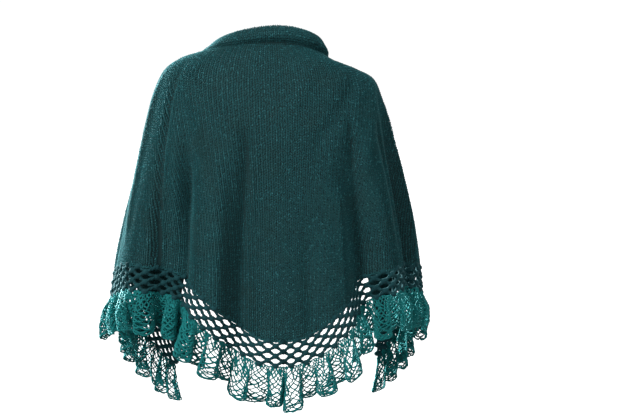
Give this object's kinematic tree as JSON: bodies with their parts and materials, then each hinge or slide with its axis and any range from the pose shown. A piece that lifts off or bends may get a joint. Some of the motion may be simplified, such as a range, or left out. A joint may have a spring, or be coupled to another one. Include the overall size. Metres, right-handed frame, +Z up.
{
  "type": "knitted triangle shawl worn as a hollow cape",
  "caption": "Worn knitted triangle shawl: hollow draped knit with a soft collar roll, an openwork band and a gathered ruffle along its short sides.",
  "frame": {"origin": "middle of the neck at shoulder height, where the wearer holds the shawl up", "axes": "+Z up, the wearer faces -Y, the point of the triangle hangs at +Y, the wearer's left is +X"},
  "size_m": [0.5785, 0.302, 0.6548],
  "materials": {
    "knit": "soft wool knit with a fine halo",
    "mesh_band": "open mesh of plied wool yarn",
    "ruffle": "net ruffle yarn with a light sheen"
  },
  "bodies": {
    "root": {"knit_body": "knit", "mesh_band_left_back": "mesh_band", "mesh_band_left_side": "mesh_band", "mesh_band_left_front": "mesh_band", "mesh_band_right_back": "mesh_band", "mesh_band_right_side": "mesh_band", "mesh_band_right_front": "mesh_band", "ruffle_left_back": "ruffle", "ruffle_left_side": "ruffle", "ruffle_left_front": "ruffle", "ruffle_right_back": "ruffle", "ruffle_right_side": "ruffle", "ruffle_right_front": "ruffle"}
  },
  "joints": []
}
